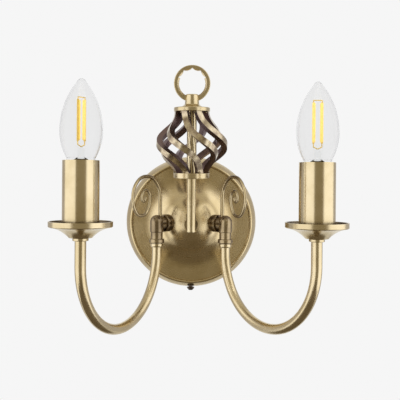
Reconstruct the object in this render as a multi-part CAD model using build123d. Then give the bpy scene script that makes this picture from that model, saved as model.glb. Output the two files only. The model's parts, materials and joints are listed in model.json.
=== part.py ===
"""Double arm wall sconce in antique brass, millimetres.

Origin: centre of the canopy on the wall plane. +Z is up, the wall is the plane
Y = 0 and the fitting stands out towards -Y. +X is the viewer's right.

A pressed canopy hooks over a steel strap and is locked by two side screws. Two
hollow elbows stand square on the canopy's domed middle. A swan-neck arm turns
under each elbow and carries a drip pan, a candle sleeve, an E14 lampholder and a
filament candle bulb. In the middle a leaning rod carries a twisted cage of square
bars between two discs, and a ring finial with a scalloped eye.
"""
from build123d import *
import math
import os

# ---------------------------------------------------------------- clearances
seat_gap = 0.1            # a curved face on the curved face that carries it
thread_gap = 0.05         # radial, screwed or soldered pieces
running_gap = 0.05        # radial, a shaft that turns or slides in its bore
moving_gap = 0.3          # between bodies that move past each other
hole_gap = 0.3            # radial, a screw or tube through a plain hole

# ---------------------------------------------------------------- canopy
canopy_radius = 67.1      # at the wall
canopy_wall = 1.2
step_height = 1.0         # small step from the dome's flare down to the flat ring
bead_inset = 6.4          # centre line of the bead, in from the canopy's radius
bead_width = 3.4
bead_height = 1.3
bulge_radius = 36.0       # the dome's sphere, centred on the wall plane
bulge_slope = 50.0        # degrees from the apex to where the flare starts
flare_radius = 25.0       # hollow curve from the sphere to the ring
side_bow = 1.0            # how far the flared side wall bows outwards
step_share = 1.5          # how far the sheet's inner face steps in, in sheet thicknesses

# ---------------------------------------------------------------- wall strap
strap_width = 20.0
strap_thickness = 1.5
ear_margin = 3.6          # welded end lugs reach this far past the lock screws
ear_width = 14.0
ear_inset = 7.5           # outer face of the lugs, in from the canopy's radius
ear_trim = 18.0           # length of the narrower ends
slot_spacing = 64.0
slot_length = 16.0
slot_width = 4.8
grommet_bore = 8.0
grommet_hole = 11.0       # hole in the strap
grommet_flange = 14.0
grommet_lip = 1.2

# ---------------------------------------------------------------- lock screws
lock_share = 0.53         # axis from the wall, as a share of the flat ring's depth
lock_shank = 4.0
lock_head = 7.4
lock_tip = 4.0            # small end of the tapered head
lock_head_height = 2.9
lock_slot = 0.8
lock_reach = 4.5          # shank past the ear's outer face

# ---------------------------------------------------------------- terminal block
terminal_size = 0.444     # height, and drop of its top, as a share of the dome's radius
terminal_stand = 0.333    # depth as a share of the dome's radius
terminal_wire = 0.7       # height of the wire channels in the block's depth
terminal_poles = 3
terminal_screw = 3.8
terminal_sink = 0.6       # how far the screw heads lie below the face
block_screw = 3.0
block_screw_head = 5.0
earth_screw = 4.0
earth_head = 7.0
earth_head_height = 2.3
earth_washer = 9.0
earth_washer_height = 1.5
earth_height = 14.0       # above the centre

# ---------------------------------------------------------------- elbows
stub_angle = 41.5         # from straight forward to each side
stub_reach = 50.7         # canopy centre to neck axis
leg_diameter = 13.4       # both legs of the elbow
hood_top = 8.4            # crown of the upright leg
hood_bottom = -8.5
hood_edge = 0.8
flange_diameter = 17.2
flange_height = 6.3       # from the dome's apex out to the flange's face
flange_edge = 0.5
groove_height = 2.6       # where the flange's groove starts, from the dome's apex
groove_width = 0.8
groove_depth = 0.8
neck_diameter = 11.6
neck_bottom = -14.8
collar_diameter = 14.7
collar_height = 4.1
collar_edge = 0.8
nipple_diameter = 10.0
nipple_wall = 1.25
nipple_inside = 10.0      # reach inside the dome
nipple_room = 2.8         # bore past the neck axis
elbow_nut = 14.0          # across flats
elbow_nut_height = 3.0
elbow_washer = 16.0
elbow_washer_height = 1.0

# ---------------------------------------------------------------- swivel
swivel_diameter = 7.4
swivel_bore = 5.2
swivel_shoulder = -5.6    # flat seat inside the elbow
swivel_ring = 9.2
swivel_ring_height = 1.6
swivel_tail = 5.0         # length soldered into the arm tube
ferrule_diameter = 12.6
ferrule_neck = 11.2
ferrule_neck_height = 0.6
ferrule_band = 2.1
ferrule_taper = 1.1

# ---------------------------------------------------------------- arms
tube_diameter = 9.3
tube_wall = 0.9
bend_radius = 62.2
bend_height = -28.0       # centre of the half circle
right_yaw = 56.0          # each arm's plane from the wall plane, as photographed
left_yaw = 63.5
wire_diameter = 2.6
wire_bend_inside = 8.0
wire_bend_elbow = 4.2

# ---------------------------------------------------------------- candles
pan_diameter = 52.0
pan_rim_top = 8.1
pan_rim_height = 4.6
pan_step = 1.2            # rim stands proud of the bowl
pan_foot = 19.2
pan_bottom = -5.0
pan_hollow = 1.5          # sagitta of the bowl's hollow underside
pan_wall = 1.0
pan_nut_diameter = 13.0
pan_nut_height = 2.6
locknut_width = 13.0      # across flats
locknut_height = 3.0
tube_top = 6.0            # end of the arm tube inside the lampholder
sleeve_diameter = 30.0
sleeve_wall = 0.8
sleeve_top = 57.4
holder_diameter = 25.0
holder_neck = 16.0
holder_shoulder = 9.0
holder_top = 47.5
holder_wall = 2.2
holder_floor = 22.5
holder_ring_height = 3.0
shell_wall = 0.5
contact_diameter = 6.0
contact_height = 1.4

# ---------------------------------------------------------------- bulbs
cap_diameter = 13.8
cap_bottom = 26.6
cap_top = 52.0
cap_skirt = 19.0
cap_toe_width = 1.5       # cone round the cap's centre contact
cap_toe_height = 2.5
contact_button = 4.6
contact_button_height = 1.2
glass_neck = 23.4
glass_neck_bottom = 54.0
glass_neck_top = 59.2
glass_diameter = 34.8
glass_widest = 81.4
glass_top = 123.6
glass_tip_radius = 3.0
glass_wall = 0.8
stem_diameter = 5.6
stem_top = 68.0
filament_width = 1.7
filament_spacing = 7.0
filament_bottom = 73.0
filament_top = 106.5
lead_diameter = 0.8
lead_lap = 1.0            # lead wires run this far along the filaments
left_bulb_turn = 48.0     # how far each bulb happens to be screwed round
right_bulb_turn = 0.0

# ---------------------------------------------------------------- mast
rod_diameter = 9.3
rod_depth = 51.0          # rod axis from the wall, level with the centre
rod_lean = 3.2            # degrees forward at the top
rod_bottom = -7.3
boss_diameter = 13.0
boss_screw_diameter = 4.0
boss_screw_head = 7.2
boss_screw_head_height = 2.6
boss_washer_diameter = 11.0
boss_washer_height = 1.0
base_disc_diameter = 34.8
base_disc_bottom = 44.7
base_disc_height = 5.2
cap_disc_diameter = 34.4
cap_disc_bottom = 108.1
cap_disc_height = 3.9
cap_disc_round = 0.9
cap_cone_height = 3.0     # hollow cone from the disc up to the finial's neck
cap_cone_margin = 2.6     # flat rim left round the cone
cap_cone_hollow = 0.8
disc_edge = 0.5
spigot_diameter = 6.0
spigot_reach = 7.0

# ---------------------------------------------------------------- cage
bar_count = 7
bar_width = 5.5
cage_end_radius = 16.4    # outer face of the bars at the discs
cage_swell = 17.7         # how much further the middle stands out
cage_fullness = 2.0       # higher is slimmer near the discs
cage_sag = 1.12           # higher puts the widest place lower
cage_twist = 112.0        # degrees from disc to disc
cage_ease = 0.28          # how far the twist gathers in the middle
cage_phase = 24.0         # first bar at the top disc, degrees right of front
cage_stations = 13

# ---------------------------------------------------------------- ring finial
finial_neck_diameter = 13.8
finial_neck_top = 12.4    # diameter under the shoulder
finial_neck_height = 9.4
finial_shoulder = 1.2
finial_round = 0.3        # share of the shoulder left at its middle
ring_centre = 134.5
ring_radius = 17.3
ring_eye = 12.5
ring_thickness = 5.6
ring_bevel = 1.5
scallop_count = 4
scallop_pitch = 33.5      # degrees
scallop_root = 14.8
scallop_tip = 12.9

# ---------------------------------------------------------------- scrolls
scroll_wire = 3.8
scroll_wire_end = 2.3
scroll_foot = 5.5         # height of the stem's end inside the elbow
scroll_offset = 4.5       # stem from the neck axis, towards the wall
right_scroll_yaw = 57.0   # each scroll's plane from the wall plane, as photographed
left_scroll_yaw = 47.8
scroll_middle = 25.6      # height where the half turns meet
outer_turn_width = 18.35  # half turns, from the stem inwards
outer_turn_height = 20.5
lower_turn_width = 11.5
lower_turn_height = 17.4
inner_turn_width = 5.5
inner_turn_height = 6.9
eye_turn_width = 2.5
eye_turn_height = 3.8

# ---------------------------------------------------------------- worked out
hexagon = 6
slot_width_share = 0.2    # a screw head's slot, of its diameter
slot_depth_share = 0.4    # of its height
full_turn = 360.0
straight = 180.0
square = 90.0
cut_past = 1.0            # cutting tools run this far past a face
tube_radius = tube_diameter / 2
rod_radius = rod_diameter / 2
arm_span = 2 * bend_radius
collar_bottom = neck_bottom - collar_height
ferrule_top = collar_bottom - moving_gap
ferrule_bottom = ferrule_top - ferrule_neck_height - ferrule_band - ferrule_taper
tube_start = ferrule_top - ferrule_neck_height - ferrule_band / 2
wire_split = bend_height + moving_gap
sleeve_radius = sleeve_diameter / 2
sleeve_bore = sleeve_radius - sleeve_wall
pan_floor = pan_bottom + pan_wall
locknut_top = pan_floor + locknut_height
holder_bottom = locknut_top
shell_bore = cap_diameter / 2 + moving_gap
contact_top = cap_bottom - contact_button_height - moving_gap
base_disc_top = base_disc_bottom + base_disc_height
cap_disc_top = cap_disc_bottom + cap_disc_height
cap_cone_top = cap_disc_top + cap_cone_height
leg_radius = leg_diameter / 2
flange_face = bulge_radius + flange_height
ring_depth = (bulge_radius + flare_radius) * math.cos(math.radians(bulge_slope)) - flare_radius - step_height
bead_radius = canopy_radius - bead_inset
ear_radius = canopy_radius - ear_inset
lock_depth = ring_depth * lock_share
ear_reach = lock_depth + ear_margin
terminal_height = bulge_radius * terminal_size
terminal_top = -terminal_height
terminal_depth = bulge_radius * terminal_stand
terminal_middle = terminal_top - terminal_height / 2
terminal_front = strap_thickness + terminal_depth
wire_depth = strap_thickness + terminal_depth * terminal_wire
wire_drop = wire_depth / math.cos(math.radians(stub_angle))
terminal_pitch = wire_depth * math.tan(math.radians(stub_angle))
scroll_turns = (
    (outer_turn_width, outer_turn_height), (lower_turn_width, lower_turn_height),
    (inner_turn_width, inner_turn_height), (eye_turn_width, eye_turn_height),
)
right = 1
left = -1


# ---------------------------------------------------------------- helpers
def polar(radius, angle):
    """Point at an angle in degrees, anticlockwise from the first axis."""
    turn = math.radians(angle)
    return radius * math.cos(turn), radius * math.sin(turn)


def arc_point(across, height, radius, angle):
    """Point on a circle round (across, height), at an angle in degrees."""
    run, rise = polar(radius, angle)
    return across + run, height + rise


def turned(*edges):
    """Solid of revolution about Z from a closed outline of (radius, height)."""
    return revolve(Plane.XZ * make_face(edges), Axis.Z)


def turned_points(*points):
    """Solid of revolution about Z from straight runs of (radius, height)."""
    return turned(Polyline(*points, close=True))


def tube_solid(outer, inner, low, high):
    """Round tube about Z."""
    return turned_points((inner, low), (outer, low), (outer, high), (inner, high))


def rod_solid(radius, low, high):
    """Round bar about Z."""
    return Pos(0, 0, (low + high) / 2) * Cylinder(radius, high - low)


def hex_nut(across_flats, bore, low, high):
    """Hexagon nut about Z with a plain bore and chamfered corners."""
    corner = across_flats / math.sqrt(3)
    prism = extrude(RegularPolygon(corner, hexagon), high - low)
    nut = Pos(0, 0, low) * prism
    bevel = (corner - across_flats / 2) / 2
    mid = (across_flats / 2 + corner) / 2
    crown = turned_points(
        (0, low), (mid, low), (corner, low + bevel), (corner, high - bevel), (mid, high), (0, high)
    )
    return (nut & crown) - rod_solid(bore, low - cut_past, high + cut_past)


def slotted_head(radius, low, high):
    """Cheese head about Z with a screwdriver slot in its top."""
    slot = Box(4 * radius, 2 * radius * slot_width_share, 2 * (high - low) * slot_depth_share)
    return rod_solid(radius, low, high) - Pos(0, 0, high) * slot


def swept(path, outer, inner=0.0, corners=Transition.TRANSFORMED):
    """Round bar or tube along a path."""
    section = Circle(outer)
    if inner:
        section = section - Circle(inner)
    return sweep(Plane(origin=path @ 0, z_dir=path % 0) * section, path=path, transition=corners)


def outward(side):
    """Frame at the canopy centre whose X runs out along one stub's axis."""
    angle = -(square - side * stub_angle)
    return Rot(0, 0, angle)


def elbow_frame(side):
    """Frame at one elbow: Z on the neck axis, X away from the canopy."""
    return outward(side) * Pos(stub_reach, 0, 0)


def neck_point(side):
    """Neck axis of one elbow in the wall frame."""
    across = side * stub_reach * math.sin(math.radians(stub_angle))
    depth = stub_reach * math.cos(math.radians(stub_angle))
    return across, -depth


def arm_frame(side):
    """Frame of one arm: Z on the neck axis, X along the arm's plane."""
    across, along = neck_point(side)
    angle = -right_yaw if side == right else straight + left_yaw
    return Pos(across, along, 0) * Rot(0, 0, angle)


def candle_frame(side):
    """Frame of one candle: Z on the candle's axis."""
    return arm_frame(side) * Pos(arm_span, 0, 0)


def mast_frame():
    """Frame of the leaning rod: Z up its axis, level with the centre at 0."""
    return Pos(0, -rod_depth, 0) * Rot(rod_lean, 0, 0)


# ---------------------------------------------------------------- canopy
def canopy_outline(inset):
    """Edges of the canopy's surface, apex to wall, moved in by the sheet."""
    sphere = bulge_radius - inset
    hollow = flare_radius + inset
    slope = square - bulge_slope
    centre = polar(bulge_radius + flare_radius, slope)
    apex = (0, sphere)
    tangent = polar(sphere, slope)
    step_radius = centre[0] - step_share * inset
    step_top = centre[1] - math.sqrt(hollow**2 - (centre[0] - step_radius) ** 2)
    mid_angle = (straight + slope + 3 * square) / 2
    mid = polar(hollow, mid_angle)
    ring = ring_depth - inset
    rim = bead_radius + bead_width / 2 - inset
    wall = canopy_radius - inset
    bow = ((rim + wall) / 2 + side_bow, ring / 2)
    edges = [
        ThreePointArc(apex, polar(sphere, (square + slope) / 2), tangent),
        ThreePointArc(tangent, (centre[0] + mid[0], centre[1] + mid[1]), (step_radius, step_top)),
        Line((step_radius, step_top), (step_radius, ring)),
    ]
    if inset:
        edges.append(Line((step_radius, ring), (rim, ring)))
    else:
        start = bead_radius - bead_width / 2
        edges.append(Line((step_radius, ring), (start, ring)))
        edges.append(ThreePointArc((start, ring), (bead_radius, ring + bead_height), (rim, ring)))
    edges.append(ThreePointArc((rim, ring), bow, (wall, 0)))
    return edges


def canopy_blank(inset):
    """Solid filling the canopy out to its surface."""
    edges = canopy_outline(inset)
    wall = canopy_radius - inset
    apex = bulge_radius - inset
    closing = [Line((wall, 0), (0, 0)), Line((0, 0), (0, apex))]
    return turned(*edges, *closing)


def make_canopy():
    cup = Plane.XZ * (canopy_blank(0) - canopy_blank(canopy_wall))
    inside = bulge_radius - 2 * canopy_wall - cut_past
    outside = bulge_radius + canopy_wall
    for side in (left, right):
        cup -= outward(side) * Rot(0, square, 0) * rod_solid(nipple_diameter / 2 + hole_gap, inside, outside)
    cup -= Plane.XZ * rod_solid(boss_screw_diameter / 2 + hole_gap, inside, outside)
    for side in (left, right):
        cup -= lock_frame(side) * rod_solid(
            lock_shank / 2 + hole_gap, ear_radius, canopy_radius + lock_head_height
        )
    return cup


# ---------------------------------------------------------------- wall strap
def make_wall_strap():
    strap = Pos(0, -strap_thickness / 2, 0) * Box(strap_width, strap_thickness, 2 * ear_radius)
    trim = strap_width - ear_width
    front = strap_thickness + cut_past
    for side in (left, right):
        for edge in (left, right):
            corner = Box(trim, 2 * front, ear_trim)
            strap -= Pos(edge * strap_width / 2, 0, side * ear_radius) * corner
        slot = extrude(Rot(0, 0, square) * SlotOverall(slot_length, slot_width), front, both=True)
        strap -= Pos(0, 0, side * slot_spacing / 2) * (Plane.XZ * slot)
    strap -= Plane.XZ * rod_solid(grommet_hole / 2, -cut_past, front)
    earth_hole = rod_solid(earth_screw / 2 + thread_gap, -cut_past, front)
    strap -= Pos(0, 0, earth_height) * (Plane.XZ * earth_hole)
    strap -= block_screw_frame() * rod_solid(block_screw / 2 + thread_gap, -cut_past, front)
    return strap


def make_strap_lugs():
    """Lugs that stand on the strap's ends and take the lock screws."""
    depth = ear_reach - strap_thickness
    middle = (ear_reach + strap_thickness) / 2
    inside = ear_radius - strap_thickness
    lugs = []
    for side in (left, right):
        height = side * (ear_radius - strap_thickness / 2)
        lug = Pos(0, -middle, height) * Box(ear_width, depth, strap_thickness)
        bore = rod_solid(lock_shank / 2 + running_gap, inside - cut_past, ear_radius + cut_past)
        lugs.append(lug - lock_frame(side) * bore)
    return lugs


def make_cable_grommet():
    waist = grommet_hole / 2 - thread_gap
    lip = grommet_flange / 2
    bore = grommet_bore / 2
    front = strap_thickness + thread_gap
    return Plane.XZ * turned_points(
        (bore, thread_gap), (waist, thread_gap), (waist, front), (lip, front),
        (lip - grommet_lip / 2, front + grommet_lip), (bore, front + grommet_lip),
    )


def lock_frame(side):
    """Frame of a lock screw: Z radially out through the canopy's side wall."""
    tilt = 0 if side == right else straight
    return Pos(0, -lock_depth, 0) * Rot(tilt, 0, 0)


def make_lock_screw(side):
    base = canopy_radius - seat_gap
    low = ear_radius - lock_reach
    shank = rod_solid(lock_shank / 2, low, base + lock_head_height / 2)
    head = turned_points(
        (0, base), (lock_head / 2, base), (lock_head / 2, base + lock_head_height / 3),
        (lock_tip / 2, base + lock_head_height), (0, base + lock_head_height),
    )
    slot = Pos(0, 0, base + lock_head_height) * Box(lock_head, lock_slot, lock_head_height / 2)
    return lock_frame(side) * (shank + head - slot)


# ---------------------------------------------------------------- terminals
def pole_positions():
    half = (terminal_poles - 1) / 2
    return [(pole - half) * terminal_pitch for pole in range(terminal_poles)]


def block_screw_frame():
    """Frame of the block's fixing screw: Z forward from the wall."""
    return Pos(terminal_pitch / 2, 0, terminal_middle) * Plane.XZ.location


def make_terminal_block():
    width = terminal_poles * terminal_pitch + terminal_screw
    back = (strap_thickness + terminal_front) / 2
    block = Pos(0, -back, terminal_middle) * Box(width, terminal_depth, terminal_height)
    bevelled = block.edges().filter_by(Axis.X).group_by(Axis.Y)[0]
    block = chamfer(bevelled, terminal_sink)
    end = terminal_height / 2 + cut_past
    front = terminal_front + cut_past
    channel = rod_solid(wire_diameter / 2 + hole_gap, -end, end)
    well = Plane.XZ * rod_solid(terminal_screw / 2 + hole_gap, wire_depth, front)
    for across in pole_positions():
        block -= Pos(across, -wire_depth, terminal_middle) * channel
        for level in (left, right):
            block -= Pos(across, 0, terminal_middle + level * terminal_height / 4) * well
    hole = rod_solid(block_screw / 2 + hole_gap, 0, front)
    head_room = rod_solid(block_screw_head / 2 + hole_gap, terminal_front - block_screw, front)
    return block - block_screw_frame() * (hole + head_room)


def make_terminal_screws():
    tip = wire_depth + wire_diameter / 2 + seat_gap
    screw = Plane.XZ * slotted_head(terminal_screw / 2, tip, terminal_front - terminal_sink)
    return [
        Pos(across, 0, terminal_middle + level * terminal_height / 4) * screw
        for across in pole_positions() for level in (left, right)
    ]


def make_block_screw():
    under = terminal_front - block_screw
    shank = rod_solid(block_screw / 2, 0, under)
    head = slotted_head(block_screw_head / 2, under, terminal_front - terminal_sink)
    return block_screw_frame() * (shank + head)


def make_earth_screw():
    face = strap_thickness + seat_gap
    top = face + earth_washer_height
    shank = rod_solid(earth_screw / 2, 0, face)
    washer = rod_solid(earth_washer / 2, face, top)
    head = slotted_head(earth_head / 2, top, top + earth_head_height)
    return Pos(0, 0, earth_height) * (Plane.XZ * (shank + washer + head))


# ---------------------------------------------------------------- elbows
def make_elbow(side):
    """Cast elbow: a grooved flange on the dome, a level leg, and an upright leg with its neck."""
    root = bulge_radius - canopy_wall - stub_reach
    face = flange_face - stub_reach
    groove = bulge_radius + groove_height - stub_reach
    flange = rod_solid(flange_diameter / 2, root, face)
    flange = fillet(flange.edges().group_by(Axis.Z)[-1], flange_edge)
    flange -= tube_solid(
        flange_diameter / 2 + cut_past, flange_diameter / 2 - groove_depth, groove, groove + groove_width
    )
    body = Rot(0, square, 0) * (flange + rod_solid(leg_radius, root, 0))
    hood = rod_solid(leg_radius, hood_bottom, hood_top - leg_radius)
    hood = fillet(hood.edges().group_by(Axis.Z)[0], hood_edge)
    body += hood + Pos(0, 0, hood_top - leg_radius) * Sphere(leg_radius)
    body += rod_solid(neck_diameter / 2, neck_bottom, hood_bottom)
    collar = rod_solid(collar_diameter / 2, collar_bottom, neck_bottom)
    body += fillet(collar.edges(), collar_edge)
    body -= Rot(0, square, 0) * rod_solid(nipple_diameter / 2 + thread_gap, root - cut_past, nipple_room)
    body -= rod_solid(swivel_ring / 2 + hole_gap, swivel_shoulder, 0)
    body -= rod_solid(swivel_diameter / 2 + running_gap, collar_bottom - cut_past, 0)
    stem_hole = rod_solid(scroll_wire / 2 + thread_gap, scroll_foot - seat_gap, 2 * hood_top)
    body -= Pos(-scroll_offset, 0, 0) * stem_hole
    return elbow_frame(side) * body - Plane.XZ * canopy_blank(-seat_gap)


def elbow_pair(piece):
    """A fastener modelled about Z, set on both stubs' axes."""
    return [outward(side) * Rot(0, square, 0) * piece for side in (left, right)]


def nipple_span():
    inner = bulge_radius - nipple_inside
    outer = stub_reach - swivel_ring / 2 - 2 * hole_gap
    return inner, outer


def washer_span():
    reach = math.sqrt((bulge_radius - canopy_wall) ** 2 - (elbow_washer / 2) ** 2)
    outer = reach - seat_gap
    return outer - elbow_washer_height, outer


def make_elbow_nipples():
    inner, outer = nipple_span()
    radius = nipple_diameter / 2
    return elbow_pair(tube_solid(radius, radius - nipple_wall, inner, outer))


def make_elbow_washers():
    back, face = washer_span()
    return elbow_pair(tube_solid(elbow_washer / 2, nipple_diameter / 2 + hole_gap, back, face))


def make_elbow_nuts():
    back = washer_span()[0]
    return elbow_pair(hex_nut(elbow_nut, nipple_diameter / 2 + thread_gap, back - elbow_nut_height, back))


def scroll_path():
    """Stem and half turns of the scroll, in the XZ plane of its own frame."""
    edges = [Line((0, scroll_foot), (0, scroll_middle))]
    across = 0
    for number, (half_width, height) in enumerate(scroll_turns):
        out = 1 if number % 2 == 0 else -1
        centre = (across + out * half_width, scroll_middle)
        start = straight if out == 1 else 0
        middle = start - square
        edges.append(quarter_turn(centre, half_width, height, start, middle))
        edges.append(quarter_turn(centre, half_width, height, middle, middle - square))
        across += out * 2 * half_width
    return Plane.XZ * Wire(edges)


def quarter_turn(centre, half_width, height, start, end):
    """A quarter of an ellipse as a tangent curve through its middle."""
    points = []
    for angle in (start, (start + end) / 2, end):
        turn = math.radians(angle)
        points.append((centre[0] + half_width * math.cos(turn), centre[1] + height * math.sin(turn)))
    tangents = []
    for angle in (start, end):
        turn = math.radians(angle)
        tangents.append((half_width * math.sin(turn), -height * math.cos(turn)))
    return Spline(points, tangents=tangents)


def make_scroll(side):
    path = scroll_path()
    total = path.length
    done = 0.0
    pieces = []
    for edge in path.edges():
        first = done / total
        done += edge.length
        last = done / total
        start = scroll_wire + (scroll_wire_end - scroll_wire) * first
        end = scroll_wire + (scroll_wire_end - scroll_wire) * last
        sections = [
            Plane(origin=edge @ 0, z_dir=edge % 0) * Circle(start / 2),
            Plane(origin=edge @ 1, z_dir=edge % 1) * Circle(end / 2),
        ]
        pieces.append(sweep(sections, path=edge, multisection=True))
    body = pieces[0]
    for piece in pieces[1:]:
        body += piece
    body += Pos(path @ 1) * Sphere(scroll_wire_end / 2)
    angle = -right_scroll_yaw if side == right else straight + left_scroll_yaw
    foot = elbow_frame(side) * Pos(-scroll_offset, 0, 0)
    across, along, _ = foot.position
    return Pos(across, along, 0) * Rot(0, 0, angle) * body


def make_canopy_wire(side):
    """Inner wire from the block up, out through the stub and down the neck."""
    path = FilletPolyline(
        (wire_drop, 0, terminal_top - terminal_height / 4), (wire_drop, 0, 0),
        (stub_reach, 0, 0), (stub_reach, 0, wire_split),
        radius=[wire_bend_inside, wire_bend_elbow],
    )
    return outward(side) * swept(path, wire_diameter / 2)


# ---------------------------------------------------------------- arms
def arm_path(start, end):
    """Centre line of an arm from a height over the elbow leg to one at the candle."""
    curve = CenterArc((bend_radius, bend_height), bend_radius, straight, straight)
    return Plane.XZ * Wire(
        [Line((0, start), (0, bend_height)), curve, Line((arm_span, bend_height), (arm_span, end))]
    )


def make_arm_tube(side):
    path = arm_path(tube_start, tube_top)
    return arm_frame(side) * swept(path, tube_radius, tube_radius - tube_wall)


def make_arm_wire(side):
    path = arm_path(wire_split - moving_gap / 2, holder_floor - contact_height)
    return arm_frame(side) * swept(path, wire_diameter / 2)


def make_ferrule(side):
    top = ferrule_top
    band_top = top - ferrule_neck_height
    band_low = band_top - ferrule_band
    upper_bore = swivel_diameter / 2 + thread_gap
    lower_bore = tube_radius + thread_gap
    body = turned_points(
        (upper_bore, top), (ferrule_neck / 2, top), (ferrule_neck / 2, band_top),
        (ferrule_diameter / 2, band_top), (ferrule_diameter / 2, band_low),
        (lower_bore + ferrule_neck_height, ferrule_bottom), (lower_bore, ferrule_bottom),
        (lower_bore, tube_start + thread_gap), (upper_bore, tube_start + thread_gap),
    )
    return arm_frame(side) * body


def make_swivel_nipple(side):
    low = tube_start - swivel_tail
    high = swivel_shoulder + seat_gap + swivel_ring_height + running_gap
    return arm_frame(side) * tube_solid(swivel_diameter / 2, swivel_bore / 2, low, high)


def make_swivel_ring(side):
    low = swivel_shoulder + seat_gap
    bore = swivel_diameter / 2 + thread_gap
    return arm_frame(side) * tube_solid(swivel_ring / 2, bore, low, low + swivel_ring_height)


# ---------------------------------------------------------------- candles
def bowl_arc(inset):
    """Centre and radius of the bowl's hollow curve, moved in by the sheet."""
    inner = (pan_foot / 2, pan_bottom)
    outer = (pan_diameter / 2 - pan_step, pan_rim_top - pan_rim_height)
    chord = math.dist(inner, outer)
    radius = chord**2 / (8 * pan_hollow) + pan_hollow / 2
    rise = (outer[1] - inner[1]) / chord
    run = (outer[0] - inner[0]) / chord
    sink = radius - pan_hollow
    mid = ((inner[0] + outer[0]) / 2, (inner[1] + outer[1]) / 2)
    centre = (mid[0] + sink * rise, mid[1] - sink * run)
    return centre, radius + inset


def bowl_height(reach, inset):
    """Height of the bowl's sheet at a distance from the candle's axis."""
    centre, radius = bowl_arc(inset)
    return centre[1] + math.sqrt(radius**2 - (reach - centre[0]) ** 2)


def bowl_edge(start, end, inset):
    """The bowl's curve between two distances from the candle's axis."""
    middle = (start + end) / 2
    return ThreePointArc(
        (start, bowl_height(start, inset)), (middle, bowl_height(middle, inset)),
        (end, bowl_height(end, inset)),
    )


def make_pan(side):
    bore = tube_radius + hole_gap
    foot = pan_foot / 2
    rim = pan_diameter / 2
    rim_low = pan_rim_top - pan_rim_height
    under = bowl_edge(foot, rim - pan_step, 0)
    inner_start = foot + pan_wall
    inner_end = rim - pan_wall - pan_step
    over = bowl_edge(inner_start, inner_end, pan_wall)
    start = under @ 0
    end = under @ 1
    over_start = over @ 0
    over_end = over @ 1
    outline = [
        Line((bore, pan_bottom), (start.X, start.Y)),
        under,
        Line((end.X, end.Y), (rim - pan_step / 2, rim_low)),
        Line((rim - pan_step / 2, rim_low), (rim, rim_low + pan_step / 2)),
        Line((rim, rim_low + pan_step / 2), (rim, pan_rim_top)),
        Line((rim, pan_rim_top), (rim - pan_wall, pan_rim_top)),
        Line((rim - pan_wall, pan_rim_top), (over_end.X, over_end.Y)),
        over,
        Line((over_start.X, over_start.Y), (foot, pan_floor)),
        Line((foot, pan_floor), (bore, pan_floor)),
        Line((bore, pan_floor), (bore, pan_bottom)),
    ]
    return candle_frame(side) * turned(*outline)


def make_pan_nut(side):
    bore = tube_radius + thread_gap
    radius = pan_nut_diameter / 2
    low = pan_bottom - pan_nut_height
    body = turned_points((bore, low), (radius, low), (radius, pan_bottom), (bore, pan_bottom))
    rounded = body.edges().filter_by(GeomType.CIRCLE).group_by(SortBy.RADIUS)[-1]
    return candle_frame(side) * fillet(rounded, pan_nut_height / 4)


def make_pan_locknut(side):
    bore = tube_radius + thread_gap
    return candle_frame(side) * hex_nut(locknut_width, bore, pan_floor, locknut_top)


def make_candle_sleeve(side):
    low = bowl_height(sleeve_bore, pan_wall) + seat_gap
    low = max(low, bowl_height(sleeve_radius, pan_wall) + seat_gap)
    return candle_frame(side) * tube_solid(sleeve_radius, sleeve_bore, low, sleeve_top)


def make_lampholder(side):
    neck = holder_neck / 2
    outer = holder_diameter / 2
    guide = sleeve_bore - hole_gap
    inner = outer - holder_wall
    bore = tube_radius + thread_gap
    wire_bore = wire_diameter / 2 + hole_gap
    guide_low = holder_top - holder_ring_height
    body = turned_points(
        (bore, holder_bottom), (neck, holder_bottom), (neck, holder_shoulder),
        (outer, holder_shoulder + outer - neck), (outer, guide_low),
        (guide, guide_low + guide - outer), (guide, holder_top),
        (inner, holder_top), (inner, holder_floor),
        (wire_bore, holder_floor), (wire_bore, tube_top + thread_gap), (bore, tube_top + thread_gap),
    )
    seat = tube_solid(shell_bore + 2 * shell_wall, shell_bore + shell_wall, holder_floor, cap_bottom)
    return candle_frame(side) * (body + seat)


def make_holder_shell(side):
    outer = shell_bore + shell_wall - thread_gap
    inner = shell_bore - thread_gap
    low = holder_floor
    flange = holder_diameter / 2 - holder_wall - thread_gap
    rise = cap_bottom + shell_wall
    body = turned_points(
        (inner, low), (outer, low), (outer, rise), (flange, rise), (flange, rise + shell_wall),
        (outer, rise + shell_wall), (outer, holder_top), (inner, holder_top),
    )
    return candle_frame(side) * body


def make_holder_contact(side):
    low = holder_floor
    foot = contact_diameter / 2
    button = contact_button / 2
    body = turned_points(
        (0, low), (foot, low), (foot, low + contact_height), (button, contact_top), (0, contact_top)
    )
    return candle_frame(side) * body


# ---------------------------------------------------------------- bulbs
def bulb_frame(side):
    turn = right_bulb_turn if side == right else left_bulb_turn
    angle = right_yaw if side == right else -left_yaw
    return candle_frame(side) * Rot(0, 0, angle + turn)


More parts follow.
